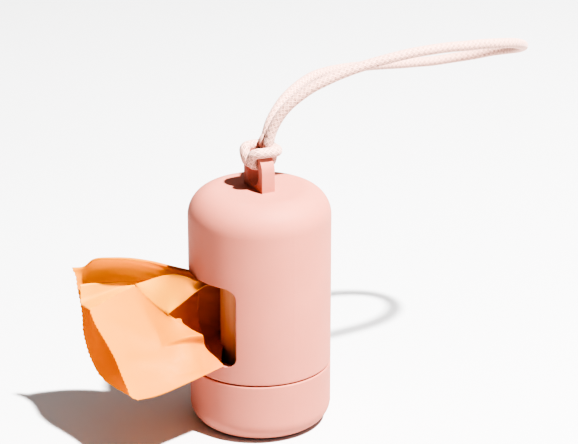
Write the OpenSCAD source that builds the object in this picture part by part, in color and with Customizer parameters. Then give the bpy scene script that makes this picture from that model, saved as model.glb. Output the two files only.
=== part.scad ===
// Refillable bag dispenser: a dome-topped case with a side window and a moulded
// lanyard tab, a push-fit base, a roll of bags on its core, the film drawn out
// through the window, and a wrist cord hitched through the tab.
// +Z is up, the origin is the centre of the flat base face, the window faces -Y.

/* [Case] */
// Outside diameter of the case
body_d = 41; // [38:0.5:46]
// Height of the case from the base face to the top of the dome
body_h = 71.2; // [68.5:0.1:90]
// Wall thickness of the moulded shells
wall = 2; // [1.6:0.1:2.4]
// Radius of the shoulder between side wall and dome
shoulder_r = 8; // [5:0.5:11]
// Width of the window across the case
window_w = 27.5; // [24:0.5:30]
// Height of the window
window_h = 24; // [22:0.5:27]
// Height of the window sill above the base face
sill_z = 23.5; // [22.5:0.5:28]
// Corner radius of the window
window_r = 3; // [1:0.5:6]

/* [Lanyard tab] */
// Width of the tab
tab_w = 10.8; // [10:0.2:13]
// Thickness of the tab
tab_t = 4.1; // [3:0.1:5]
// Height of the tab above the dome
tab_h = 11.3; // [10.5:0.1:14]
// Width of the hole through the tab
tab_hole_w = 6.6; // [6.2:0.1:7]
// Height of the hole through the tab
tab_hole_h = 8.1; // [7:0.1:9]

/* [Base] */
// Height of the base from the base face to the seam
base_h = 18.3; // [14:0.1:20]
// Fillet radius round the foot of the base
foot_r = 6; // [3:0.5:8]
// Rounding of the rims that meet at the seam
rim_r = 0.5; // [0.2:0.1:0.8]
// Gap that shows as the seam line
seam_gap = 0.25; // [0.15:0.05:0.5]
// Thickness of the base floor
floor_t = 2.5; // [2:0.1:3.5]
// Height of the neck above the seam
neck_h = 4.4; // [3:0.1:4.8]
// Wall thickness of the neck
neck_t = 1.5; // [1.2:0.1:2]
// Length of the ring that roots the neck inside the base
neck_root_h = 4; // [2:0.5:6]
// Number of friction ribs round the neck
rib_n = 6; // [3:1:12]
// Radius of one friction rib
rib_r = 0.6; // [0.4:0.1:0.8]
// Height of the post that centres the roll core
post_h = 6; // [3:0.5:10]

/* [Roll] */
// Width of the folded film on the roll
film_w = 57; // [50:0.5:60]
// Diameter of the wound roll, partly used
roll_d = 23; // [18:0.5:25]
// Outside diameter of the cardboard core
core_d = 13; // [12:0.5:15]
// Wall thickness of the core
core_t = 1; // [0.6:0.1:1.5]

/* [Film] */
// Thickness of the drawn-out film as it is folded
film_t = 0.5; // [0.4:0.05:0.8]
// How far the torn end stands out from the case axis
bag_reach = 48; // [44:0.5:54]
// How far inside the case the tongue of the bag starts, from the roll axis
tongue_y = 2; // [1:0.5:4]

/* [Wrist cord] */
// Diameter of the braided cord
cord_d = 3; // [2.5:0.1:3.2]

/* [Clearances] */
// Radial clearance of the neck wall in the case
neck_gap = 0.3; // [0.2:0.05:0.5]
// Radial clearance of the friction ribs in the case
rib_gap = 0.05; // [0.02:0.01:0.1]
// Radial clearance of the core on its post
post_gap = 0.3; // [0.1:0.05:0.5]
// Gap between the base floor and the end of the roll
roll_gap = 0.3; // [0.2:0.05:0.5]
// Gap between film and the pieces that it runs past
film_gap = 0.3; // [0.2:0.05:0.5]

/* [Hidden] */
$fn = 96;

body_r = body_d / 2;
bore_r = body_r - wall;
case_z = base_h + seam_gap;
cavity_top = body_h - wall;
window_top = sill_z + window_h;
tab_top = body_h + tab_h;
tab_arch_r = tab_w / 2;
hole_r = tab_hole_w / 2;
rim_t = tab_arch_r - hole_r;
hole_top = tab_top - rim_t;
// The tab is rooted this deep in the dome's wall
tab_root = 1;
// A cut runs this far past the surface that it opens
past = 1;
neck_r = bore_r - neck_gap;
neck_in_r = neck_r - neck_t;
core_r = core_d / 2;
core_in_r = core_r - core_t;
post_r = core_in_r - post_gap;
post_chamfer = 0.8;
roll_r = roll_d / 2;
roll_z = floor_t + roll_gap;
rose = "#e3b0a8";
rose_base = "#dda89f";
peach = "#f7cfa6";
card = "#b9926b";
blush = "#eccfc8";

// ---- helper shapes ----

// Half section of a solid of revolution with a rounded top edge
module domed_half(r, h, top_r) {
    square([r, h - top_r]);
    square([r - top_r, h]);
    translate([r - top_r, h - top_r]) circle(top_r);
}

// Upright slot outline with half-round ends, its lowest point at the origin
module slot(w, h) {
    translate([0, w / 2]) circle(w / 2);
    translate([0, h - w / 2]) circle(w / 2);
    translate([-w / 2, w / 2]) square([w, h - w]);
}

// Rectangle with round corners, its lower edge centred on the origin
module round_rectangle(w, h, r) {
    translate([-w / 2 + r, 0]) square([w - 2 * r, h]);
    translate([-w / 2, r]) square([w, h - 2 * r]);
    for (x = [-w / 2 + r, w / 2 - r], y = [r, h - r])
        translate([x, y]) circle(r);
}

// Outline in X and Z pushed along Y from y0 to y1
module upright(y0, y1) {
    translate([0, y1, 0])
        rotate([90, 0, 0])
            linear_extrude(y1 - y0)
                children();
}

// Closed skin through rings of points; each flat end is a row of four-sided
// faces that join the first half of its ring to the second half
module skin(rings) {
    n = len(rings[0]);
    last = len(rings) - 1;
    sides = [
        for (i = [0:last - 1], j = [0:n - 1]) [
            i * n + j,
            i * n + (j + 1) % n,
            (i + 1) * n + (j + 1) % n,
            (i + 1) * n + j
        ]
    ];
    first_end = [for (j = [0:n / 2 - 2]) [n - 1 - j, n - 2 - j, j + 1, j]];
    last_end = [for (face = first_end) [for (k = [3:-1:0]) last * n + face[k]]];
    polyhedron(points = [for (ring = rings) each ring], faces = concat(sides, first_end, last_end));
}

// ---- case ----

module case_shell() {
    difference() {
        rotate_extrude()
            intersection() {
                domed_half(body_r, body_h, shoulder_r);
                translate([0, case_z]) square([body_r, body_h]);
            }
        rotate_extrude()
            domed_half(bore_r, cavity_top, shoulder_r - wall);
        window_cut();
        case_rim_cut();
    }
}

module window_cut() {
    translate([0, 0, sill_z])
        upright(-body_r - past, -tab_t)
            round_rectangle(window_w, window_h, window_r);
}

// Rounds the lower outside edge of the case at the seam
module case_rim_cut() {
    rotate_extrude()
        difference() {
            translate([body_r - rim_r, case_z - past]) square([past + rim_r, past + rim_r]);
            translate([body_r - rim_r, case_z + rim_r]) circle(rim_r);
        }
}

module lanyard_tab() {
    difference() {
        translate([0, 0, body_h - tab_root])
            upright(-tab_t / 2, tab_t / 2) {
                translate([0, tab_h + tab_root - tab_arch_r]) circle(tab_arch_r);
                translate([-tab_arch_r, 0]) square([tab_w, tab_h + tab_root - tab_arch_r]);
            }
        translate([0, 0, hole_top - tab_hole_h])
            upright(-tab_t, tab_t)
                slot(tab_hole_w, tab_hole_h);
    }
}

module housing() {
    color(rose) {
        case_shell();
        lanyard_tab();
    }
}

// ---- base ----

// Half section of the base's outside, with a foot fillet and a rounded rim
module base_half() {
    square([body_r - foot_r, base_h]);
    translate([0, foot_r]) square([body_r, base_h - foot_r - rim_r]);
    translate([body_r - foot_r, foot_r]) circle(foot_r);
    translate([0, base_h / 2]) square([body_r - rim_r, base_h / 2]);
    translate([body_r - rim_r, base_h - rim_r]) circle(rim_r);
}

// Half section of the hollow below the neck's root
module base_hollow_half() {
    in_r = foot_r - wall;
    top = base_h - neck_root_h;
    translate([0, floor_t + in_r]) square([bore_r, top - floor_t - in_r]);
    translate([0, floor_t]) square([bore_r - in_r, in_r]);
    translate([bore_r - in_r, floor_t + in_r]) circle(in_r);
}

module friction_ribs() {
    rib_z = base_h + rim_r;
    for (i = [0:rib_n - 1])
        rotate([0, 0, i * 360 / rib_n])
            translate([bore_r - rib_gap - rib_r, 0, rib_z])
                cylinder(h = neck_h - 2 * rim_r, r = rib_r, $fn = 24);
}

module roll_post() {
    translate([0, 0, floor_t - past])
        cylinder(h = post_h + past - post_chamfer, r = post_r);
    translate([0, 0, floor_t + post_h - post_chamfer])
        cylinder(h = post_chamfer, r1 = post_r, r2 = post_r - post_chamfer);
}

module base_cap() {
    color(rose_base) {
        difference() {
            union() {
                rotate_extrude() base_half();
                translate([0, 0, base_h - neck_root_h])
                    cylinder(h = neck_root_h + neck_h, r = neck_r);
                friction_ribs();
            }
            rotate_extrude() base_hollow_half();
            translate([0, 0, floor_t + foot_r])
                cylinder(h = base_h + neck_h, r = neck_in_r);
        }
        roll_post();
    }
}

// ---- roll ----

module tube(r_out, r_in, h) {
    difference() {
        cylinder(h = h, r = r_out);
        translate([0, 0, -past]) cylinder(h = h + 2 * past, r = r_in);
    }
}

module roll_core() {
    color(card) translate([0, 0, roll_z]) tube(core_r, core_in_r, film_w);
}

module bag_roll() {
    color(peach) translate([0, 0, roll_z]) tube(roll_r, core_r, film_w);
}

// ---- film ----
// Lists of [x, z] are film sections, drawn along the middle of the film. The film
// leaves the roll on its -X side and runs in the -Y direction. film_turn turns it
// about the roll's axis, so that it also passes the side of the window.

// Distance of the drawn-out film from the roll's axis, past the web under it
tongue_x = roll_r + 2 * film_gap + 1.5 * film_t;
web_x = tongue_x - film_gap - film_t;
window_side_x = window_w / 2 - film_gap - film_t / 2;
film_turn = acos(window_side_x / body_r) - acos(tongue_x / body_r);

// Where the film lies on the window's sill and ends beside its upper corner
sill_film_z = sill_z + film_gap + film_t;
side_film_h = window_top - window_r - sill_film_z;
// The bottom fold stands in from the window's other side by this much
fold_inset = 3.3;
fold_x = window_w / 2 - fold_inset;

// Distances of the sections from the case axis; those outside the case are shares of
// the way from the window to the torn end
mouth_y = bore_r * 0.7;
trough_y = (roll_r + bore_r) / 2 - past;
neck_y = body_r + past;
function out_y(share) = neck_y + (bag_reach - neck_y) * share;
step_y = out_y(0.04);
edge_y = out_y(0.22);
notch_y = out_y(0.28);
apex_y = out_y(0.41);
middle_y = out_y(0.6);
belly_y = out_y(0.81);

// Each point of section a moved towards section b by the share f
function blend(a, b, f) = [for (i = [0:len(a) - 1]) a[i] * (1 - f) + b[i] * f];

// Section with its heights counted from the film on the sill
function from_sill(s) = [for (p = s) p + [0, sill_film_z]];

// Evenly spaced points from a to b
function row(a, b, n) = [for (i = [0:n - 1]) a + (b - a) * i / (n - 1)];

// The film turns round the bottom fold at one point between two others
fold_above = [-0.8, 1];
fold_below = [-1.2, -0.8];
// Every section has this many points on the front leaf
front_points = 8;

// Section of both leaves: the given upper points of the front leaf, an even row from
// the last of them down to the fold, then the back leaf up to its upper edge
function leaves(upper, fold, back) =
    let (n = front_points - len(upper) + 1, crease = upper[len(upper) - 1])
    from_sill(concat(
        upper,
        [for (i = [1:n - 1]) row(crease, fold + fold_above, n)[i]],
        [fold, fold + fold_below],
        back
    ));

// The torn end
torn_section = leaves(
    [[-21.2, 18.4], [-18.9, 13.6], [-15.5, 14], [-10.6, 14.9]],
    [16.8, -2.3],
    [
        [-2, -3.7], [-11.1, -0.9], [-16.4, 4.7], [-17.9, 9.7], [-20.3, 13], [-23.4, 16.7],
        [-24.2, 19.7], [-25.1, 21.9]
    ]
);

// Where the back leaf bellies out and its upper edge curls forward
belly_section = leaves(
    [[-20.6, 18.5], [-18.4, 15.4], [-15.8, 15.3], [-12.7, 15.8]],
    [16.6, -2.5],
    [
        [-2, -3.6], [-13, -1.5], [-19.8, 4.3], [-22.3, 11.2], [-23.4, 16.7], [-22.8, 20.9],
        [-20.8, 24.3], [-18.6, 26.1]
    ]
);

// Where the valley behind the crease runs out
middle_section = leaves(
    [[-17.7, 18.6], [-16.8, 17.4], [-15.8, 16.8], [-14.8, 16.9]],
    [16, -2.3],
    [
        [-2.2, -3.3], [-13.2, -1.1], [-20, 4.9], [-22.6, 11.7], [-23.2, 17.3], [-21.2, 22.1],
        [-17.8, 25.7], [-14.7, 27.1]
    ]
);

// At the peak of the front leaf's crease
apex_section = leaves(
    row([-16.8, 18.2], [-15.7, 17.3], 4),
    [15, -1.9],
    [
        [-1.8, -3], [-12.7, -0.7], [-18.9, 5.3], [-21.1, 12.1], [-21.3, 17.7], [-18.9, 22.3],
        [-15.3, 25.5], [-12.7, 26.7]
    ]
);

// Where the upper part of the front leaf parts from the lower
notch_back = [
    [-1.6, -2.4], [-12, -0.3], [-17, 5.5], [-18.4, 11.9], [-18.4, 17.1], [-16.6, 21.1],
    [-13.6, 23.9], [-11.6, 25.1]
];
notch_section = leaves(row([-15, 18.8], [-0.9, 13.2], 4), [14.1, -1.5], notch_back);

// From there to the window the lower part sinks to a lip
edge_section = leaves([[0.3, 12.2]], [13.7, -1.4], notch_back);
step_section = leaves(
    [[3.8, 7.9]],
    [12.7, -0.9],
    [
        [-1.5, -1], [-10.8, 0.4], [-14.1, 5.7], [-14.7, 11.5], [-14.5, 16.2], [-13.7, 19.6],
        [-12.4, 21.7], [-11.2, 22.6]
    ]
);

// Section in the window: a lip of width w and height h, and what lies on the sill and
// stands up beside the window's edge
function in_window(w, h) = from_sill(concat(
    row([fold_x - w, h], [fold_x, 0.5] + [-0.6, 0.5], front_points),
    [
        [fold_x, 0.5], [fold_x - 0.8, 0], [0, 0], [window_r - tongue_x, 0],
        [0.3 * window_r - tongue_x, 0.3 * window_r], [-tongue_x, window_r]
    ],
    [for (share = [0.4, 0.6, 0.8, 1]) [-tongue_x, share * side_film_h]]
));
neck_section = in_window(0.6 * fold_x, 0.6 * fold_x);
gutter_section = in_window(0.4 * fold_x, 0.2 * fold_x);

// The upper part of the front leaf goes on from the crease to the window's top. It
// starts tucked behind the lower part.
flap_tuck = from_sill(row([-15.3, 17.4], [-5.8, 13.4], 4));
flap_root = from_sill(row([-14.8, 19.3], [-0.8, 13.7], 4));
flap_rise = from_sill([[-11.7, 20.4], [-8, 19.9], [-3.8, 18.4], [0, 15.7]]);
flap_turn = from_sill([[-6.4, 22.5], [-3.6, 21.7], [-1.1, 20], [1.1, 17.5]]);
flap_end = from_sill([[-0.5, 23.5], [0.6, 22.4], [1.6, 21], [2.4, 19.5]]);

// The part of the drawn-out film that lies against the web
tongue_section = from_sill([
    for (share = [0.25, 0.5, 0.75, 1]) [-tongue_x, share * side_film_h]
]);

// Upright film between two heights at the web's place
function web_section(low, high) = [for (share = [0:1 / 3:1]) [-web_x, low + share * (high - low)]];

// Unit normal of a film section at point i
function section_normal(s, i) =
    let (d = s[min(i + 1, len(s) - 1)] - s[max(i - 1, 0)])
    [-d[1], d[0]] / norm(d);

// Points along one face of the film, at the distance y from the case axis
function film_face(s, y, offset) = [
    for (i = [0:len(s) - 1])
        let (p = s[i] + section_normal(s, i) * offset) [p[0], -y, p[1]]
];

// Points on the other face in reverse order
function reversed(list) = [for (i = [len(list) - 1:-1:0]) list[i]];

function film_ring(s, y) =
    concat(film_face(s, y, film_t / 2), reversed(film_face(s, y, -film_t / 2)));

module pulled_bag() {
    color(peach) rotate([0, 0, film_turn]) {
        skin([
            film_ring(gutter_section, trough_y),
            film_ring(blend(gutter_section, neck_section, 0.6), (trough_y + neck_y) / 2 + past),
            film_ring(neck_section, neck_y),
            film_ring(step_section, step_y),
            film_ring(edge_section, edge_y),
            film_ring(notch_section, notch_y),
            film_ring(apex_section, apex_y),
            film_ring(middle_section, middle_y),
            film_ring(belly_section, belly_y),
            film_ring(torn_section, bag_reach)
        ]);
        skin([
            film_ring(flap_end, out_y(0.03)),
            film_ring(flap_turn, out_y(0.08)),
            film_ring(flap_rise, out_y(0.14)),
            film_ring(flap_root, out_y(0.26)),
            film_ring(flap_tuck, out_y(0.34))
        ]);
        skin([film_ring(tongue_section, tongue_y), film_ring(tongue_section, trough_y + film_t)]);
    }
}

// The web is as wide as the roll where it leaves it, and narrows to the window
module bag_web() {
    web_low_z = sill_film_z + window_r + film_t;
    color(peach) rotate([0, 0, film_turn])
        skin([
            film_ring(web_section(roll_z + 3, roll_z + film_w - 3), 0),
            film_ring(web_section(sill_film_z - 6, sill_film_z + side_film_h + 6), mouth_y / 2),
            film_ring(web_section(web_low_z, sill_film_z + side_film_h), mouth_y),
            film_ring(web_section(web_low_z, sill_film_z + side_film_h - 1), mouth_y + wall)
        ]);
}

// ---- wrist cord ----

cord_r = cord_d / 2;
cord_sides = 8;
// The hitch pulls the soft cord down to this share of its radius
hitch_squeeze = 0.75;

// Route of the free loop, from the hitch out along the near strand, round the
// far end and back along the other strand
loop_route = [
    [1.4, 2.7, 85.8], [1.5, 3, 87.2], [1.8, 3.9, 89.5], [2.3, 5.2, 92], [3, 6.9, 94.4],
    [3.8, 9, 96.5], [4.6, 11.6, 98.5], [5.3, 14.2, 100.1], [6.1, 17.3, 101.5], [6.9, 21, 102.9],
    [7.9, 25.5, 104.3], [9, 31.2, 105.6], [10, 37, 106.6], [10.7, 43, 107.3], [11.3, 49, 107.6],
    [11.6, 55, 107.6], [11.6, 61, 107.2], [11.3, 67, 106.8], [10.6, 73, 106], [9.2, 78.5, 105],
    [7, 82.8, 103.6], [4, 86.2, 102], [0.4, 88.8, 100.4], [-4.6, 90.4, 98.4], [-10, 90.2, 96.6],
    [-15, 88, 95], [-19, 84.2, 93.4], [-22, 79, 92.4], [-23.6, 73, 91.9], [-24, 67, 92.2],
    [-23.4, 61, 92.8], [-22.3, 55, 93.7], [-21, 49, 94.6], [-19.5, 43, 95.4], [-17.6, 37, 96.2],
    [-15.4, 31, 96.8], [-13, 25.1, 97], [-10.6, 20, 96.4], [-8.2, 15.6, 95.5], [-5.8, 11.2, 94],
    [-4.2, 8.3, 92.3], [-3, 6.1, 90.5], [-2.2, 4.6, 88.8], [-1.6, 3.6, 87], [-1.4, 3.1, 85.8]
];

// Half of the hitch, from the end of the free loop down the back of the tab,
// through its hole, up its front, over its rim and round to the cross bar
half_hitch = [
    [1.4, 2.7, 85.8], [1.3, 2.4, 84.8], [1.3, 2.5, 83.7], [1.3, 3.1, 82.7], [1.35, 3.3, 81.4],
    [1.4, 3.3, 80.2], [1.4, 2.8, 79.1], [1.3, 1.5, 78.6], [1.3, 0, 78.5], [1.3, -1.5, 78.6],
    [1.4, -2.8, 79.1], [1.6, -3.3, 80.1], [2, -3.4, 81.2], [2.7, -3.2, 82.2],
    [3.5, -2.3, 82.7], [4, -1, 82.7], [4.1, 0.4, 82.7], [4.1, 1.8, 82.6], [3.9, 3.2, 82.4],
    [3.2, 4.5, 82.2], [2, 5.3, 82.1], [0.7, 5.6, 82]
];

hitch_route = concat(half_hitch, [for (p = reversed(half_hitch)) [-p[0], p[1], p[2]]]);

function unit(v) = v / norm(v);

function tangent(route, i) = unit(route[min(i + 1, len(route) - 1)] - route[max(i - 1, 0)]);

// The part of v that lies across the direction t, as a unit vector
function across(v, t) = unit(v - t * (v * t));

// A sideways direction for every point of the route, carried along from the first
function carried(route, i, side) =
    i == len(route) ? []
    : let (s = across(side, tangent(route, i)))
      concat([s], carried(route, i + 1, s));

function cord_ring(centre, t, side, r, sides) =
    let (other = cross(t, side))
    [
        for (k = [0:sides - 1])
            let (a = 360 * k / sides) centre + r * (side * cos(a) + other * sin(a))
    ];

// Tube along a route, as thick as the cord at both ends and inside_r between them
module cord_tube(route, inside_r) {
    side = carried(route, 0, [1, 0, 0]);
    last = len(route) - 1;
    skin([
        for (i = [0:last])
            cord_ring(
                route[i], tangent(route, i), side[i],
                i == 0 || i == last ? cord_r : inside_r,
                cord_sides
            )
    ]);
}

module wrist_cord() {
    color(blush) cord_tube(loop_route, cord_r);
}

module cord_hitch() {
    color(blush) cord_tube(hitch_route, cord_r * hitch_squeeze);
}

housing();
base_cap();
roll_core();
bag_roll();
bag_web();
pulled_bag();
wrist_cord();
cord_hitch();
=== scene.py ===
"""Looks of the bag dispenser: case, base, roll, drawn-out film bag and braided wrist cord."""

import math

import bmesh
import bpy
import numpy
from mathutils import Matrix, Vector


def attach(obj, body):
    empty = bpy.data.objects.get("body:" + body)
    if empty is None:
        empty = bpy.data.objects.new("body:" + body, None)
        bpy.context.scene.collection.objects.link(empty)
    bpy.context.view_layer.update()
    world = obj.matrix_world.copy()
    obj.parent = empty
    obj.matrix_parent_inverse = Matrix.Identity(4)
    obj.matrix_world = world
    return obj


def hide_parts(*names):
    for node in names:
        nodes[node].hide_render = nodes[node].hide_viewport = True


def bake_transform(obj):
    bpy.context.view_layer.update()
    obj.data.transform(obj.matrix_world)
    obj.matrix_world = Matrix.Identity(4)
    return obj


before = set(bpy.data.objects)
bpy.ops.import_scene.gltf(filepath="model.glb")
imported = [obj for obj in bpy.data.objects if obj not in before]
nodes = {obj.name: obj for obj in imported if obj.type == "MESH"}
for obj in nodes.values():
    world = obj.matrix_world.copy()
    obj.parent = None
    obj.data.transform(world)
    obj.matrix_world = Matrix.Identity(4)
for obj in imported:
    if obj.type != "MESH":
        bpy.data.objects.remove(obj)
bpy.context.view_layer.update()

MM = 0.001


def mm(points):
    """Points in millimetres as vectors in metres."""
    return [Vector(p) * MM for p in points]


# ---- camera -----------------------------------------------------------------

CAMERA_AZIMUTH = 61.0  # degrees round the object from the window's side
CAMERA_ELEVATION = 20.8
CAMERA_DISTANCE = 0.615
CAMERA_TARGET_RIGHT = 0.0084  # the picture's centre, from the case axis
CAMERA_TARGET_UP = 0.0607
FOCAL_PIXELS = 2156.1
PICTURE_WIDTH = 578


def direction(azimuth, elevation):
    """Unit vector from the object towards a viewer at these angles, in degrees."""
    a, e = math.radians(azimuth), math.radians(elevation)
    return Vector((math.sin(a) * math.cos(e), -math.cos(a) * math.cos(e), math.sin(e)))


def make_camera():
    """The camera that took the photo, as fitted to it."""
    data = bpy.data.cameras.new("camera")
    camera = bpy.data.objects.new("camera", data)
    bpy.context.scene.collection.objects.link(camera)
    a = math.radians(CAMERA_AZIMUTH)
    right = Vector((math.cos(a), math.sin(a), 0))
    target = right * CAMERA_TARGET_RIGHT + Vector((0, 0, CAMERA_TARGET_UP))
    back = direction(CAMERA_AZIMUTH, CAMERA_ELEVATION)
    camera.location = target + back * CAMERA_DISTANCE
    camera.rotation_mode = "QUATERNION"
    camera.rotation_quaternion = (-back).to_track_quat("-Z", "Y")
    data.sensor_width = 36
    data.lens = data.sensor_width * FOCAL_PIXELS / PICTURE_WIDTH
    data.clip_start, data.clip_end = 0.01, 20
    bpy.context.scene.camera = camera


make_camera()

# ---- meshes and materials -----------------------------------------------------


def new_mesh(name, vertices, faces):
    """Smooth-shaded object made from points and faces."""
    mesh = bpy.data.meshes.new(name)
    mesh.from_pydata([tuple(v) for v in vertices], [], faces)
    mesh.validate()
    mesh.shade_smooth()
    obj = bpy.data.objects.new(name, mesh)
    bpy.context.scene.collection.objects.link(obj)
    return obj


def paint(obj, material):
    obj.data.materials.clear()
    obj.data.materials.append(material)


class Nodes:
    """Short names for the nodes of one material."""

    def __init__(self, name):
        self.material = bpy.data.materials.new(name)
        self.material.use_nodes = True
        self.tree = self.material.node_tree
        self.shader = self.tree.nodes["Principled BSDF"]
        self.output = self.tree.nodes["Material Output"]

    def add(self, kind, inputs=None, **settings):
        node = self.tree.nodes.new(kind)
        for key, value in settings.items():
            setattr(node, key, value)
        for key, value in (inputs or {}).items():
            self.put(node, key, value)
        return node

    def put(self, node, key, value):
        if isinstance(value, bpy.types.NodeSocket):
            self.tree.links.new(value, node.inputs[key])
        else:
            node.inputs[key].default_value = value

    def place(self):
        """Position on the object, in metres."""
        return self.add("ShaderNodeTexCoord").outputs["Object"]

    def noise(self, scale, detail, vector=None):
        """Noise from 0 to 1, with about scale spots in a metre."""
        inputs = {"Vector": vector or self.place(), "Scale": scale, "Detail": detail}
        return self.add("ShaderNodeTexNoise", inputs).outputs["Fac"]

    def ramp(self, value, *stops):
        """Colours at positions of a value from 0 to 1."""
        node = self.add("ShaderNodeValToRGB", {"Fac": value})
        elements = node.color_ramp.elements
        while len(elements) < len(stops):
            elements.new(0.5)
        for element, (position, colour) in zip(elements, stops):
            element.position = position
            element.color = (*colour, 1)
        return node.outputs["Color"]

    def scaled(self, value, low, high, start=0.0, end=1.0):
        """A value from start to end taken to the range from low to high."""
        inputs = {"Value": value, "From Min": start, "From Max": end, "To Min": low, "To Max": high}
        return self.add("ShaderNodeMapRange", inputs).outputs["Result"]

    def bump(self, height, distance, strength, normal=None):
        """Relief of this depth in metres, on top of the normal given."""
        inputs = {"Height": height, "Distance": distance, "Strength": strength}
        if normal:
            inputs["Normal"] = normal
        return self.add("ShaderNodeBump", inputs).outputs["Normal"]


EDGE_RADIUS = 0.45 * MM  # of the moulded edges


def soft_touch_plastic(name, colour):
    """Matte moulded plastic with a fine even grain."""
    n = Nodes(name)
    light = [c * 1.03 for c in colour]
    dark = [c * 0.96 for c in colour]
    tone = n.noise(60, 3)
    n.put(n.shader, "Base Color", n.ramp(tone, (0.3, dark), (0.7, light)))
    n.put(n.shader, "Roughness", n.scaled(n.noise(400, 4), 0.56, 0.68))
    n.shader.inputs["Specular IOR Level"].default_value = 0.2
    n.shader.inputs["Subsurface Weight"].default_value = 0.25
    n.shader.inputs["Subsurface Radius"].default_value = (1, 0.35, 0.25)
    n.shader.inputs["Subsurface Scale"].default_value = 0.002
    rounded = n.add("ShaderNodeBevel", {"Radius": EDGE_RADIUS}, samples=6).outputs["Normal"]
    grain = n.bump(n.noise(5200, 3), 0.00003, 0.5, rounded)
    n.put(n.shader, "Normal", n.bump(n.noise(900, 2), 0.00004, 0.25, grain))
    return n.material


# On its way into the window the film's colour is painted redder and darker, as the shade
# inside the case, and the film lets less light through. Both start at a place of their own
# in Y and end where the film bunches up in the window
PAINTED_SHADE_START_Y = -27 * MM
PLIES_START_Y = -25 * MM
GATHERED_Y = -17 * MM
# Painted shade: the factor by which the film's colour is darkened and reddened in the window
PAINTED_SHADE_TINT = (0.8, 0.5, 0.75)
LIGHT_THROUGH_ONE_PLY = 0.5
LIGHT_THROUGH_GATHERED = 0.1
LIGHT_THROUGH_DOUBLED = 0.05  # share of what a leaf that isn't folded over lets through


def film_material():
    """Thin compostable film that light passes through.

    It is painted redder and darker towards the window, as the shade inside the case, and lets
    little light through where the bag's attribute "doubled" says that a leaf is folded over.
    """
    n = Nodes("film")
    tone = n.noise(90, 4)
    outside = n.ramp(tone, (0.3, (0.66, 0.275, 0.035)), (0.7, (0.70, 0.295, 0.04)))
    inward = n.add("ShaderNodeSeparateXYZ", {"Vector": n.place()}).outputs["Y"]
    # Painted shade: the colour darkens and reddens towards the window, where the case's inside is
    # in shade
    painted_shade_share = n.scaled(inward, 0, 1, PAINTED_SHADE_START_Y, GATHERED_Y)
    painted_shade_colour = n.ramp(painted_shade_share, (0, (1, 1, 1)), (1, PAINTED_SHADE_TINT))
    tinted = n.add("ShaderNodeVectorMath", {0: outside, 1: painted_shade_colour}, operation="MULTIPLY")
    colour = tinted.outputs["Vector"]
    n.put(n.shader, "Base Color", colour)
    n.put(n.shader, "Roughness", n.scaled(n.noise(700, 3), 0.42, 0.6))
    n.shader.inputs["Specular IOR Level"].default_value = 0.22
    fine = n.bump(n.noise(1600, 4), 0.00004, 0.35)
    normal = n.bump(n.noise(160, 3), 0.0003, 0.25, fine)
    n.put(n.shader, "Normal", normal)
    through = n.add("ShaderNodeBsdfTranslucent", {"Color": (0.98, 0.57, 0.1, 1), "Normal": normal})
    plies = n.scaled(
        inward, LIGHT_THROUGH_ONE_PLY, LIGHT_THROUGH_GATHERED, PLIES_START_Y, GATHERED_Y
    )
    doubled = n.add("ShaderNodeAttribute", attribute_name="doubled").outputs["Fac"]
    share = n.scaled(doubled, 1, LIGHT_THROUGH_DOUBLED)
    passing = n.add("ShaderNodeMath", {0: plies, 1: share}, operation="MULTIPLY").outputs["Value"]
    mix = n.add("ShaderNodeMixShader", {0: passing})
    n.tree.links.new(n.shader.outputs["BSDF"], mix.inputs[1])
    n.tree.links.new(through.outputs["BSDF"], mix.inputs[2])
    n.tree.links.new(mix.outputs["Shader"], n.output.inputs["Surface"])
    return n.material


def wound_film_material():
    """Many layers of the same film, wound tight: no light comes through."""
    n = Nodes("wound_film")
    mapping = n.add("ShaderNodeMapping", {"Vector": n.place(), "Scale": (1, 1, 0.08)})
    stretched = mapping.outputs["Vector"]
    tone = n.noise(500, 4, stretched)
    colour = n.ramp(tone, (0.3, (0.50, 0.23, 0.11)), (0.7, (0.60, 0.29, 0.15)))
    n.put(n.shader, "Base Color", colour)
    n.put(n.shader, "Roughness", n.scaled(n.noise(300, 3), 0.38, 0.55))
    n.shader.inputs["Specular IOR Level"].default_value = 0.4
    n.shader.inputs["Subsurface Weight"].default_value = 0.6
    n.shader.inputs["Subsurface Radius"].default_value = (1, 0.5, 0.3)
    n.shader.inputs["Subsurface Scale"].default_value = 0.008
    fine = n.bump(n.noise(2000, 3, stretched), 0.00004, 0.5)
    n.put(n.shader, "Normal", n.bump(n.noise(120, 3, stretched), 0.0003, 0.3, fine))
    return n.material


def card_material():
    """Wound grey-brown card with a fine fibrous grain."""
    n = Nodes("card")
    fibre = n.noise(900, 6)
    colour = n.ramp(fibre, (0.25, (0.30, 0.20, 0.12)), (0.75, (0.46, 0.33, 0.21)))
    n.put(n.shader, "Base Color", colour)
    n.shader.inputs["Roughness"].default_value = 0.85
    n.put(n.shader, "Normal", n.bump(n.noise(1500, 5), 0.0001, 0.5))
    return n.material


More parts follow.
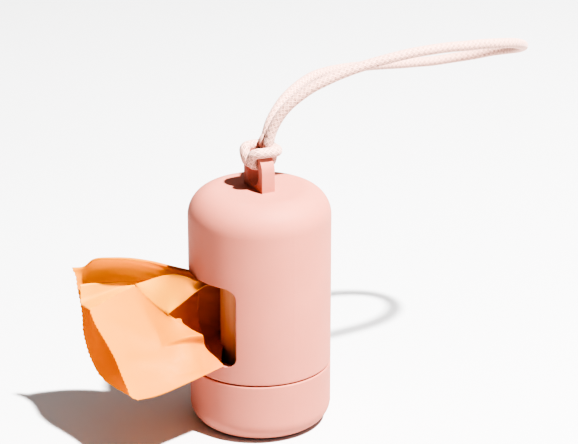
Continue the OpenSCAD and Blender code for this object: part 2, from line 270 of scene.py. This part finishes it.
def cord_material():
    """Pale braided yarn with a little sheen, its colour darkened in the braid's grooves as painted
    shade.
    """
    n = Nodes("cord")
    yarn = n.ramp(n.noise(2500, 4), (0.3, (0.60, 0.34, 0.265)), (0.7, (0.74, 0.45, 0.365)))
    # Painted shade: the yarn's colour is darkened in the grooves between the braid's strands
    groove = n.add("ShaderNodeAttribute", attribute_name="braid").outputs["Fac"]
    shade = n.ramp(groove, (0.1, (0.16, 0.085, 0.085)), (0.78, (1, 1, 1)))
    mixed = n.add(
        "ShaderNodeMix", {0: 1.0, 6: yarn, 7: shade}, data_type="RGBA", blend_type="MULTIPLY"
    )
    n.put(n.shader, "Base Color", mixed.outputs[2])
    n.shader.inputs["Roughness"].default_value = 0.75
    n.shader.inputs["Sheen Weight"].default_value = 0.2
    n.put(n.shader, "Normal", n.bump(n.noise(6000, 3), 0.00005, 0.5))
    return n.material


ROSE = (0.45, 0.165, 0.12)
case_plastic = soft_touch_plastic("case_plastic", ROSE)
base_plastic = soft_touch_plastic("base_plastic", tuple(c * 0.98 for c in ROSE))
film = film_material()
wound_film = wound_film_material()
card = card_material()
yarn = cord_material()

# ---- wrist cord -----------------------------------------------------------------

CORD_DIAMETER = 3 * MM

# The free loop, from the hitch out along the near strand and back along the other
LOOP_ROUTE = mm([
    (1.4, 2.7, 85.8), (1.5, 3, 87.2), (1.8, 3.9, 89.5), (2.3, 5.2, 92), (3, 6.9, 94.4),
    (3.8, 9, 96.5), (4.6, 11.6, 98.5), (5.3, 14.2, 100.1), (6.1, 17.3, 101.5), (6.9, 21, 102.9),
    (7.9, 25.5, 104.3), (9, 31.2, 105.6), (10, 37, 106.6), (10.7, 43, 107.3), (11.3, 49, 107.6),
    (11.6, 55, 107.6), (11.6, 61, 107.2), (11.3, 67, 106.8), (10.6, 73, 106), (9.2, 78.5, 105),
    (7, 82.8, 103.6), (4, 86.2, 102), (0.4, 88.8, 100.4), (-4.6, 90.4, 98.4), (-10, 90.2, 96.6),
    (-15, 88, 95), (-19, 84.2, 93.4), (-22, 79, 92.4), (-23.6, 73, 91.9), (-24, 67, 92.2),
    (-23.4, 61, 92.8), (-22.3, 55, 93.7), (-21, 49, 94.6), (-19.5, 43, 95.4), (-17.6, 37, 96.2),
    (-15.4, 31, 96.8), (-13, 25.1, 97), (-10.6, 20, 96.4), (-8.2, 15.6, 95.5), (-5.8, 11.2, 94),
    (-4.2, 8.3, 92.3), (-3, 6.1, 90.5), (-2.2, 4.6, 88.8), (-1.6, 3.6, 87), (-1.4, 3.1, 85.8),
])

# Half of the hitch, from the loop's end down the back of the tab, through its hole,
# up its front, over its rim and round to the cross bar
HALF_HITCH = mm([
    (1.4, 2.7, 85.8), (1.3, 2.3, 84.8), (1.3, 2.2, 83.7), (1.3, 2.8, 82.7), (1.35, 3.25, 81.4),
    (1.4, 3.3, 80.2), (1.4, 2.8, 79.1), (1.3, 1.5, 78.6), (1.3, 0, 78.5), (1.3, -1.5, 78.6),
    (1.4, -2.8, 79.1), (1.6, -3.3, 80.1), (2, -3.4, 81.2), (2.7, -3.2, 82.2), (3.5, -2.3, 82.7),
    (3.9, -1, 82.7), (4, 0.4, 82.7), (4, 1.7, 82.6), (3.7, 2.9, 82.5), (3, 4, 82.3),
    (1.9, 4.7, 82.2), (0.7, 4.9, 82.1),
])


def curve_point(p0, p1, p2, p3, t):
    """Point at the share t between p1 and p2 on a smooth curve through all four."""
    return 0.5 * (
        2 * p1 + (p2 - p0) * t + (2 * p0 - 5 * p1 + 4 * p2 - p3) * t * t
        + (3 * p1 - p0 - 3 * p2 + p3) * t ** 3
    )


def spline(points, step):
    """Points about step apart on a smooth curve through the given points."""
    line = [points[0]]
    for i in range(len(points) - 1):
        p0, p1 = points[max(i - 1, 0)], points[i]
        p2, p3 = points[i + 1], points[min(i + 2, len(points) - 1)]
        count = max(2, round((p2 - p1).length / step))
        line += [curve_point(p0, p1, p2, p3, k / count) for k in range(1, count + 1)]
    return line


def evenly(line, step):
    """The same line with its points step apart."""
    lengths = [0.0]
    for a, b in zip(line, line[1:]):
        lengths.append(lengths[-1] + (b - a).length)
    count = max(2, round(lengths[-1] / step))
    made, k = [], 0
    for i in range(count + 1):
        s = lengths[-1] * i / count
        while k < len(line) - 2 and lengths[k + 1] < s:
            k += 1
        span = lengths[k + 1] - lengths[k]
        made.append(line[k].lerp(line[k + 1], (s - lengths[k]) / span if span else 0))
    return made, lengths[-1]


def cord_route():
    """From the middle of the cross bar through half of the hitch, the loop and the other half."""
    half = HALF_HITCH[::-1]
    mirrored = [Vector((-p.x, p.y, p.z)) for p in HALF_HITCH]
    middle = Vector((0, half[0].y, half[0].z))
    return [middle, *half[:-1], *LOOP_ROUTE, *mirrored[1:]]


BRAID_SIDES = 36
BRAID_STEP = 0.22 * MM
BRAID_STRANDS = 12  # strands that run one way round, and as many the other way
BRAID_PITCH = 9 * MM
BRAID_RELIEF = 0.2 * MM


def braid_height(turn, along):
    """Height of the braid from 0 to 1, at a turn round the cord and a distance along it."""
    a = BRAID_STRANDS * (turn + along / BRAID_PITCH)
    b = BRAID_STRANDS * (turn - along / BRAID_PITCH)
    over = math.sin(math.pi * (a + b) / 2) * math.sin(math.pi * (a - b) / 2)
    one = abs(math.cos(math.pi * a))
    other = abs(math.cos(math.pi * b))
    return one if over > 0 else other


def make_cord():
    """The loop and its hitch as one braided tube along the cord's route."""
    line, length = evenly(spline(cord_route(), 0.3 * MM), BRAID_STEP)
    tangents = [
        (line[min(i + 1, len(line) - 1)] - line[max(i - 1, 0)]).normalized()
        for i in range(len(line))
    ]
    side = Vector((0, 0, 1))
    vertices, heights, faces = [], [], []
    for i, (point, tangent) in enumerate(zip(line, tangents)):
        side = (side - tangent * side.dot(tangent)).normalized()
        up = tangent.cross(side)
        for k in range(BRAID_SIDES):
            turn = k / BRAID_SIDES
            height = braid_height(turn, length * i / (len(line) - 1))
            heights.append(height)
            radius = CORD_DIAMETER / 2 - BRAID_RELIEF * (1 - height)
            angle = 2 * math.pi * turn
            vertices.append(point + (side * math.cos(angle) + up * math.sin(angle)) * radius)
    rings = len(line)
    for i in range(rings - 1):
        for k in range(BRAID_SIDES):
            a, b = i * BRAID_SIDES + k, i * BRAID_SIDES + (k + 1) % BRAID_SIDES
            faces.append((a, b, b + BRAID_SIDES, a + BRAID_SIDES))
    faces.append(tuple(reversed(range(BRAID_SIDES))))
    faces.append(tuple((rings - 1) * BRAID_SIDES + k for k in range(BRAID_SIDES)))
    obj = new_mesh("braided_cord", vertices, faces)
    braid = obj.data.attributes.new("braid", "FLOAT", "POINT")
    braid.data.foreach_set("value", heights)
    paint(obj, yarn)
    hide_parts("wrist_cord", "cord_hitch")
    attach(obj, "case")


make_cord()

# ---- film -----------------------------------------------------------------------

FILM_THICKNESS = 0.14 * MM
TOOTH = 1.4 * MM  # length of a tooth along the perforated edge
TOOTH_DEPTH = 0.42 * MM

# The back leaf: one row for each cut across the bag, from the torn end into the window,
# each from its top edge round the belly to the fold along the bottom
BACK_LEAF = [mm(row) for row in (
    [(-25.1, -47.6, 46.7), (-24.1, -47, 44.5), (-23.3, -47, 41.5),
     (-20.9, -47.2, 37.5), (-19, -47.6, 34), (-17.5, -48, 29),
     (-12.2, -48.2, 23.4), (-3, -48.2, 20.6), (15.8, -46.7, 22)],
    [(-23.1, -44.9, 47.2), (-23.8, -44.9, 45.2), (-24, -44.9, 42),
     (-23, -45.2, 38.5), (-21, -45.6, 34.5), (-19, -46, 28.5),
     (-13.4, -46, 23), (-3, -45.8, 20.6), (15.8, -44.6, 21.9)],
    [(-19.6, -43, 50.4), (-21.8, -42.8, 48.6), (-23.8, -42.6, 45.2),
     (-24.4, -42.8, 41), (-23.3, -43, 35.5), (-20.8, -43.2, 28.6),
     (-14, -43, 22.8), (-3, -43, 20.7), (15.7, -41.5, 21.8)],
    [(-15.5, -38.9, 51.4), (-18.6, -38.3, 50), (-22, -37.6, 46.4),
     (-24, -37.4, 41.6), (-23.4, -37.4, 36), (-20.8, -37.4, 29.2),
     (-14, -37.4, 23.2), (-3, -37.4, 21), (15.2, -37.4, 22)],
    [(-13.4, -34.2, 51), (-16, -33.4, 49.8), (-19.6, -32.6, 46.6),
     (-22, -32.3, 42), (-21.8, -32.3, 36.4), (-19.6, -32.3, 29.6),
     (-13.4, -32.3, 23.6), (-2.5, -32.3, 21.3), (14.3, -32.8, 22.4)],
    [(-12.2, -28.6, 49.4), (-14.2, -28, 48.2), (-17.2, -27.4, 45.4),
     (-19, -27.2, 41.4), (-19, -27.2, 36.2), (-17.6, -27.2, 29.8),
     (-12.6, -27.2, 24), (-2.2, -27.2, 21.9), (13.3, -27.8, 22.9)],
    [(-11.7, -22.6, 46.9), (-12.9, -22.4, 46), (-14.2, -22.2, 43.9),
     (-15, -22.2, 40.5), (-15.2, -22.2, 35.8), (-14.6, -22.2, 30),
     (-11.3, -22.2, 24.7), (-2, -22.2, 23.3), (12.2, -22.8, 23.4)],
    [(-11.3, -17.6, 44.9), (-12, -17.4, 44.3), (-12.7, -17.3, 42.6),
     (-13, -17.3, 39.5), (-13, -17.3, 35), (-12.9, -17.3, 30),
     (-10.8, -17.3, 25.2), (-2, -17.3, 24.1), (11, -17.6, 23.9)],
    [(-11.4, -13, 43.2), (-11.9, -13, 42.7), (-12.4, -13, 41.2),
     (-12.7, -13, 38.5), (-12.8, -13, 34.5), (-12.7, -13, 30.2),
     (-10.6, -13, 25.6), (-3, -13.4, 24.6), (6.5, -13.8, 24.4)],
)]

# The front leaf: its torn edge, its crease from the torn end over the apex to the notch,
# its free edge down to the lip on the sill, and the fold along the bottom
FRONT_TORN = mm([
    (-11.7, -48.5, 39.2), (-7.3, -48.8, 36.4), (-2.2, -48.2, 33.2), (3.1, -47.8, 29.9),
    (7.7, -48.1, 27.1), (11.9, -48.3, 24.5), (14.4, -48.4, 22.9), (15.8, -46.7, 22),
])
CREASE_TO_APEX = mm([
    (-11.7, -48.5, 39.2), (-14, -40.7, 40.4), (-15.6, -35.5, 41.2), (-16.4, -31.9, 41.6),
])
CREASE_TO_NOTCH = mm([
    (-16.4, -31.9, 41.6), (-13.4, -31.4, 40.7), (-10.2, -30.9, 39.8), (-4.9, -29.8, 38.4),
    (-1.5, -28.8, 37.5),
])
FREE_EDGE = mm([
    (-1.5, -28.8, 37.5), (-0.3, -27.4, 36.5), (0, -27.2, 36.2), (-0.3, -26.3, 36.2),
    (-0.1, -25.3, 35.9), (0.8, -25.5, 35), (1.9, -24.2, 33.9), (3.3, -22.4, 32.2),
    (4.4, -21.2, 30.5), (5.1, -20.8, 29.1), (6.6, -20.9, 27.6), (7.4, -19.6, 26.7),
    (8.8, -18.5, 25.5), (11, -17.6, 23.9),
])
BOTTOM_FOLD = mm([
    (15.8, -46.7, 22), (15.8, -44.6, 21.9), (15.7, -41.5, 21.8), (15.2, -37.4, 22),
    (14.3, -32.8, 22.4), (13.3, -27.8, 22.9), (12.2, -22.8, 23.4), (11, -17.6, 23.9),
])

# The upper panel: its torn edge, its top edge to the window and on into it, and its
# straight edge from the notch into the window
UPPER_TORN = mm([
    (-22.2, -46.7, 42.7), (-21.3, -47, 40.2), (-20, -47.6, 37.9), (-16.6, -48, 38.3),
    (-11.7, -48.5, 39.2),
])
UPPER_TOP = mm([
    (-22.2, -46.7, 42.7), (-21.6, -44, 42.8), (-19.9, -40.2, 42.9), (-18.5, -36.5, 42.9),
    (-17.5, -32.5, 42.5),
])
WINDOW_TOP = mm([
    (-17.5, -32.5, 42.5), (-16.6, -30.6, 42.6), (-15.5, -28.6, 43.1), (-14, -26.7, 43.8),
    (-12.3, -25.3, 44.7), (-9.7, -24.3, 45.8), (-6.9, -23.8, 46.8), (-3.9, -23.3, 47.5),
    (-1, -22.6, 47.8), (1, -21.6, 47.4), (1.4, -20.2, 47), (0.8, -18, 46.6), (-1, -14, 46),
])
STRAIGHT_EDGE = mm([
    (-1.5, -28.8, 37.5), (-1.2, -27, 38.7), (-0.6, -25.3, 40), (0.6, -23.7, 41.8),
    (1.9, -22.2, 43.8), (4.4, -19.9, 46.7), (4.6, -18.4, 46.6), (3.5, -14, 45.6),
])

# Steps of the bag's mesh: along its creases and edges, and from edge to edge of the
# leaves and of the upper panel
TO_APEX, TO_NOTCH, TO_WINDOW, TO_LIP = 56, 44, 34, 70
LEAF_ROWS, PANEL_ROWS = 90, 18
WELD_DISTANCE = 0.02 * MM  # joins the patches where they meet


def along(points, shares):
    """Points of a line at these shares of its length."""
    lengths = [0.0]
    for a, b in zip(points, points[1:]):
        lengths.append(lengths[-1] + (b - a).length)
    made = []
    for share in shares:
        s, k = share * lengths[-1], 0
        while k < len(points) - 2 and lengths[k + 1] < s:
            k += 1
        span = lengths[k + 1] - lengths[k]
        made.append(points[k].lerp(points[k + 1], min(1, (s - lengths[k]) / span)))
    return made


def even(count):
    """Shares from 0 to 1."""
    return [i / count for i in range(count + 1)]


def smooth_line(points, count):
    """count + 1 points spread evenly over a smooth curve through the given points."""
    return along(spline(points, 0.3 * MM), even(count))


def coons(bottom, top, left, right):
    """Rows of points between four edges that share their corners."""
    rows = []
    columns, lines = len(bottom) - 1, len(left) - 1
    for j in range(lines + 1):
        v = j / lines
        row = []
        for i in range(columns + 1):
            u = i / columns
            across = left[j] * (1 - u) + right[j] * u
            up = bottom[i] * (1 - v) + top[i] * v
            corners = (
                bottom[0] * (1 - u) * (1 - v) + bottom[-1] * u * (1 - v)
                + top[0] * (1 - u) * v + top[-1] * u * v
            )
            row.append(across + up - corners)
        rows.append(row)
    return rows


def relax(rows, rounds):
    """Move the points inside a patch to the middle of their neighbours, round after round."""
    grid = numpy.array([[tuple(p) for p in row] for row in rows])
    for _ in range(rounds):
        grid[1:-1, 1:-1] = (grid[:-2, 1:-1] + grid[2:, 1:-1] + grid[1:-1, :-2] + grid[1:-1, 2:]) / 4
    for j in range(1, len(rows) - 1):
        rows[j] = [Vector(p) for p in grid[j]]


def grid_faces(rows, columns, start=0):
    """Four-sided faces over rows of points whose first one has the number start."""
    faces = []
    for j in range(rows - 1):
        for i in range(columns - 1):
            a = start + j * columns + i
            faces.append((a, a + 1, a + columns + 1, a + columns))
    return faces


def ridge(p, a, b, height, width, fade=3 * MM):
    """Height of a fold that runs from a to b."""
    d = b - a
    t = max(0, min(1, (p - a).dot(d) / d.dot(d)))
    off = (p - (a + d * t)).length
    ends = min(1, t * d.length / fade, (1 - t) * d.length / fade) if 0 < t < 1 else 0
    return height * math.exp(-((off / width) ** 2)) * ends


def step(p, a, b, height, width, reach):
    """Height of a fold that grows from nothing at a to its full height at b and beyond.

    It is steep on its lower side and dies out over reach on the other.
    """
    d = b - a
    t = (p - a).dot(d) / d.dot(d)
    if t <= 0:
        return 0.0
    off = p - (a + d * t)
    side = off.dot(FRONT_NORMAL.cross(d).normalized())
    rise = 0.5 + 0.5 * math.tanh(side / width)
    return height * min(1, t) * rise * math.exp(-max(0, side) / reach)


FRONT_NORMAL = Vector((0.53, 0.03, 0.85)).normalized()
# Folds of the front leaf: two ends, height and half width, in millimetres
FRONT_FOLDS = [
    ((-9, -46, 37.4), (2.8, -33.6, 29.7), 0.2, 2.2),
    ((-14.8, -34, 40.6), (2.8, -33, 29.7), -0.16, 1.6),
    ((4.5, -46.5, 29), (9, -24, 25.4), 0.18, 2.4),
    ((-4, -30, 34.4), (0, -22.5, 31.2), 0.22, 1.4),
    ((2.2, -35, 29.4), (4.4, -32.4, 28.2), -0.8, 0.5),
    ((3.4, -32.6, 29.2), (6.2, -20.5, 28.2), -0.5, 1.1),
]
# The step beside the window: two ends, height, half width and reach, in metres
FRONT_STEP = (*mm([(2.9, -33.6, 28.8), (4.6, -19.6, 28.1)]), 4 * MM, 0.3 * MM, 4.5 * MM)
FRONT_BELLY = 0.9 * MM
GATHER_HEIGHT = 0.2  # of the back leaf, in millimetres
CREASE_HEIGHT = 0.22
UPPER_NORMAL = Vector((0.3, -0.83, 0.47))
UPPER_SWELL = 0.5 * MM
# How far the back leaf's top edge curls, along its length, in millimetres
HEM = [Vector(p) for p in ((-0.6, 0.3, 0.15), (-1.1, 0.6, 0.15), (-1.0, 0.55, 0.2))]


def shape_front(p):
    """The front leaf's flat point, moved by the leaf's folds."""
    height = 0.0
    for a, b, tall, width in FRONT_FOLDS:
        height += ridge(p, Vector(a) * MM, Vector(b) * MM, tall * MM, width * MM)
    return p + FRONT_NORMAL * height


def build_front(fold, upper_line):
    """The front leaf, from its bottom fold to its upper line."""
    torn = smooth_line(FRONT_TORN, LEAF_ROWS)
    front = coons(fold, upper_line, torn[::-1], [fold[-1]] * (LEAF_ROWS + 1))
    relax(front, rounds=600)
    rows, columns = len(front), len(front[0])
    for j in range(1, rows - 1):
        for i in range(1, columns):
            u, v = i / (columns - 1), j / (rows - 1)
            # Folds and belly fade out towards the leaf's edges
            inward = min(1, 6 * u, 6 * (1 - u)) * min(1, 8 * v, 12 * (1 - v))
            belly = FRONT_BELLY * math.sin(math.pi * u) * math.sin(math.pi * v)
            p = front[j][i]
            front[j][i] = p + (shape_front(p) - p + FRONT_NORMAL * belly) * inward
            front[j][i] += FRONT_NORMAL * step(p, *FRONT_STEP) * min(1, 12 * (1 - v))
    return front


def build_panel(crease_a, crease_b):
    """The upper panel in two patches: as far as the apex, and from there into the window."""
    apex_rise = smooth_line([crease_a[-1], UPPER_TOP[-1]], PANEL_ROWS)
    top = smooth_line(UPPER_TOP, TO_APEX)
    torn = smooth_line(UPPER_TORN[::-1], PANEL_ROWS)
    middle = coons(crease_a, top, torn, apex_rise)
    lower = crease_b + along(STRAIGHT_EDGE, even(TO_WINDOW))[1:]
    top = smooth_line(WINDOW_TOP, TO_NOTCH + TO_WINDOW)
    inner = smooth_line([STRAIGHT_EDGE[-1], WINDOW_TOP[-1]], PANEL_ROWS)
    upper = coons(lower, top, apex_rise, inner)
    relax(upper, rounds=200)
    for j in range(1, PANEL_ROWS):
        for i in range(1, len(upper[0]) - 1):
            u, v = i / (len(upper[0]) - 1), j / PANEL_ROWS
            swell = UPPER_SWELL * math.sin(math.pi * v) * math.sin(math.pi * u)
            upper[j][i] = upper[j][i] + UPPER_NORMAL * swell
    return middle, upper


def build_back(fold):
    """The back leaf: smooth both ways, curled at its top edge, and ending on the bottom fold."""
    across = [smooth_row(row, LEAF_ROWS) for row in BACK_LEAF]
    hem = along(HEM, even(len(across) - 1))
    across = [[row[0] + curl * MM] + row[1:] for row, curl in zip(across, hem)]
    length = len(fold) - 1
    back = [smooth_row([row[j] for row in across], length) for j in range(LEAF_ROWS + 1)]
    for i in range(length + 1):
        gap = fold[i] - back[LEAF_ROWS][i]
        for j in range(LEAF_ROWS + 1):
            back[j][i] = back[j][i] + gap * (j / LEAF_ROWS) ** 3
    wrinkle(back)
    return back


def build_bag():
    """The bag's leaves as one mesh, and the back leaf's edge beside the window."""
    crease_a = smooth_line(CREASE_TO_APEX, TO_APEX)
    crease_b = smooth_line(CREASE_TO_NOTCH, TO_NOTCH)
    free = along(FREE_EDGE, even(TO_LIP))
    fold = smooth_line(BOTTOM_FOLD, TO_APEX + TO_NOTCH + TO_LIP)
    front = build_front(fold, crease_a + crease_b[1:] + free[1:])
    middle, upper = build_panel(crease_a, crease_b)
    back = build_back(fold)
    serrate(front, Vector((0, -1, 0)))
    serrate(middle, Vector((0, -1, 0)))
    serrate(back, Vector((-0.2, -1, 0)))
    vertices, faces, doubled = [], [], []
    # Each patch with how far it lies on another leaf, which the film's material reads
    for patch, folded_over in ((front, 0), (middle, 0.75), (upper, 1), (back, 0)):
        faces += grid_faces(len(patch), len(patch[0]), len(vertices))
        for row in patch:
            vertices += row
            doubled += [folded_over] * len(row)
    bag = new_mesh("film_bag", vertices, faces)
    bag.data.attributes.new("doubled", "FLOAT", "POINT").data.foreach_set("value", doubled)
    mesh = bmesh.new()
    mesh.from_mesh(bag.data)
    bmesh.ops.remove_doubles(mesh, verts=mesh.verts, dist=WELD_DISTANCE)
    bmesh.ops.recalc_face_normals(mesh, faces=mesh.faces)
    mesh.to_mesh(bag.data)
    mesh.free()
    return bag, [row[-1] for row in back]


def wrinkle(leaf):
    """Shallow gathers that die out from the window to the torn end, and two long creases."""
    rows, columns = len(leaf), len(leaf[0])
    flat = [list(row) for row in leaf]
    for j in range(1, rows - 1):
        for i in range(1, columns - 1):
            s, t = j / (rows - 1), i / (columns - 1)
            across = flat[j + 1][i] - flat[j - 1][i]
            down = flat[j][i + 1] - flat[j][i - 1]
            edges = min(1, 12 * s, 12 * (1 - s), 10 * t, 10 * (1 - t))
            # Six broad and eleven finer waves across the leaf, at a slant
            broad = math.sin(2 * math.pi * (6 * s + 0.7 * t))
            fine = 0.6 * math.sin(2 * math.pi * (11 * s - 0.9 * t) + 1)
            gather = t ** 1.5 * (broad + fine)
            long_a = math.exp(-(((s - 0.33 - 0.12 * t) / 0.02) ** 2))
            long_b = -math.exp(-(((s - 0.58 + 0.1 * t) / 0.025) ** 2))
            height = (GATHER_HEIGHT * gather + CREASE_HEIGHT * (long_a + long_b)) * edges * MM
            leaf[j][i] = flat[j][i] + across.cross(down).normalized() * height


def smooth_row(row, count):
    """count + 1 points on a smooth curve with an equal share between each pair of its points."""
    made = []
    for k in range(count + 1):
        s = k / count * (len(row) - 1)
        i = min(int(s), len(row) - 2)
        p0, p3 = row[max(i - 1, 0)], row[min(i + 2, len(row) - 1)]
        made.append(curve_point(p0, row[i], row[i + 1], p3, s - i))
    return made


def serrate(patch, outward):
    """Small teeth along the torn edge, which is the first point of each row."""
    s = 0.0
    for j in range(len(patch)):
        if j:
            s += (patch[j][0] - patch[j - 1][0]).length
        wave = abs((s / TOOTH) % 1 - 0.5) * 2
        for i, share in ((0, 1.0), (1, 0.4)):
            patch[j][i] = patch[j][i] + outward.normalized() * TOOTH_DEPTH * (wave - 0.5) * share


def make_film(obj):
    """Give a surface the film's thickness, half to each side, and its material."""
    skin = obj.modifiers.new("thickness", "SOLIDIFY")
    skin.thickness = FILM_THICKNESS
    skin.offset = 0
    paint(obj, film)


def make_bag():
    """The bag drawn out through the window. Returns the edge that the web meets."""
    bag, inner_edge = build_bag()
    make_film(bag)
    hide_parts("pulled_bag")
    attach(bag, "bag")
    return inner_edge


ROLL_RADIUS = 11.5 * MM
ROLL_TOP = 58 * MM  # heights between which the web leaves the roll
ROLL_FOOT = 8 * MM
WEB_START = Vector((-ROLL_RADIUS - 0.25 * MM, 0.5 * MM, 0))  # beside the roll
WEB_LAP = Vector((0.05, -0.6, 0.05)) * MM  # how far the web reaches past the bag's edge
WEB_GAP_POINT = Vector((-6.5, -14, 45.3)) * MM  # between the window's top and the back leaf
WEB_EDGE_STRIDE = 15  # the web meets each 15th point of the back leaf's edge
WEB_TURN = 1.8  # power by which the web turns late towards the window
WEB_RISE = 1.6  # power by which it rises early, at its top
WEB_FOOT_RISE = 5  # more of it towards the foot, which clears the neck of the base
PLEATS = 9
PLEAT_HEIGHT = 0.35 * MM


def make_web(bag_edge):
    """The film inside the case, from the roll's whole height to the window."""
    steps, lines = 60, 26
    corners = [STRAIGHT_EDGE[-1], WINDOW_TOP[-1], WEB_GAP_POINT, *bag_edge[::WEB_EDGE_STRIDE]]
    mouth = smooth_line(corners, steps)
    rows = []
    for j in range(lines + 1):
        v = j / lines
        row = []
        for i in range(steps + 1):
            s = i / steps
            start = WEB_START + Vector((0, 0, ROLL_TOP + (ROLL_FOOT - ROLL_TOP) * s))
            end = mouth[i] + WEB_LAP
            pull = 1 - (1 - v) ** (WEB_RISE + WEB_FOOT_RISE * s ** 4)
            x = start.x + (end.x - start.x) * v ** WEB_TURN
            y = start.y + (end.y - start.y) * v
            z = start.z + (end.z - start.z) * pull
            wave = math.sin(2 * math.pi * s * PLEATS + 2 * v)
            pleat = PLEAT_HEIGHT * wave * math.sin(math.pi * v)
            row.append(Vector((x + pleat, y, z)))
        rows.append(row)
    vertices = [p for row in rows for p in row]
    web = new_mesh("film_web", vertices, grid_faces(len(rows), len(rows[0])))
    make_film(web)
    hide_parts("bag_web")
    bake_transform(web)


make_web(make_bag())

# ---- case, base and roll ----------------------------------------------------------

paint(nodes["housing"], case_plastic)
paint(nodes["base_cap"], base_plastic)
paint(nodes["roll_core"], card)
paint(nodes["bag_roll"], wound_film)

# ---- floor and light ---------------------------------------------------------------

FLOOR_HALF_WIDTH = 3.0
LAMP_PLACE = Vector((0.559, 0.229, 1.238))
LAMP_RADIUS = 0.031
LAMP_POWER = 322  # watts
LIT_SIDE = (0.485, 0.875, 0)  # where the even light is strongest
STUDIO_COLOUR = (1, 0.96, 0.95, 1)
# The even light's strength, by how far a direction points to the lit side
STUDIO_STRENGTH = {"From Min": -0.9, "From Max": 0.3, "To Min": 0.07, "To Max": 0.6}


def make_floor():
    """The studio's floor, wide enough to reach the horizon."""
    n = Nodes("floor")
    tone = n.noise(3, 2)
    colour = n.ramp(tone, (0.3, (0.57, 0.57, 0.57)), (0.7, (0.59, 0.59, 0.59)))
    n.put(n.shader, "Base Color", colour)
    n.shader.inputs["Roughness"].default_value = 0.9
    w = FLOOR_HALF_WIDTH
    floor = new_mesh("floor", [(-w, -w, 0), (w, -w, 0), (w, w, 0), (-w, w, 0)], [(0, 1, 2, 3)])
    paint(floor, n.material)


def studio_light(tree):
    """Even light from all round, weaker from the open side of the studio."""
    place = tree.nodes.new("ShaderNodeTexCoord").outputs["Generated"]
    dot = tree.nodes.new("ShaderNodeVectorMath")
    dot.operation = "DOT_PRODUCT"
    dot.inputs[1].default_value = LIT_SIDE
    strength = tree.nodes.new("ShaderNodeMapRange")
    for key, value in STUDIO_STRENGTH.items():
        strength.inputs[key].default_value = value
    tree.links.new(place, dot.inputs[0])
    tree.links.new(dot.outputs["Value"], strength.inputs["Value"])
    tree.links.new(strength.outputs["Result"], tree.nodes["Background"].inputs["Strength"])


def make_light():
    """A small hard lamp, the studio's even light, and the view transform."""
    data = bpy.data.lights.new("lamp", "POINT")
    data.energy = LAMP_POWER
    data.shadow_soft_size = LAMP_RADIUS
    lamp = bpy.data.objects.new("lamp", data)
    lamp.location = LAMP_PLACE
    bpy.context.scene.collection.objects.link(lamp)
    world = bpy.data.worlds.new("studio")
    world.use_nodes = True
    world.node_tree.nodes["Background"].inputs["Color"].default_value = STUDIO_COLOUR
    studio_light(world.node_tree)
    bpy.context.scene.world = world
    view = bpy.context.scene.view_settings
    view.view_transform = "AgX"
    view.look = "AgX - Very High Contrast"


make_floor()
make_light()
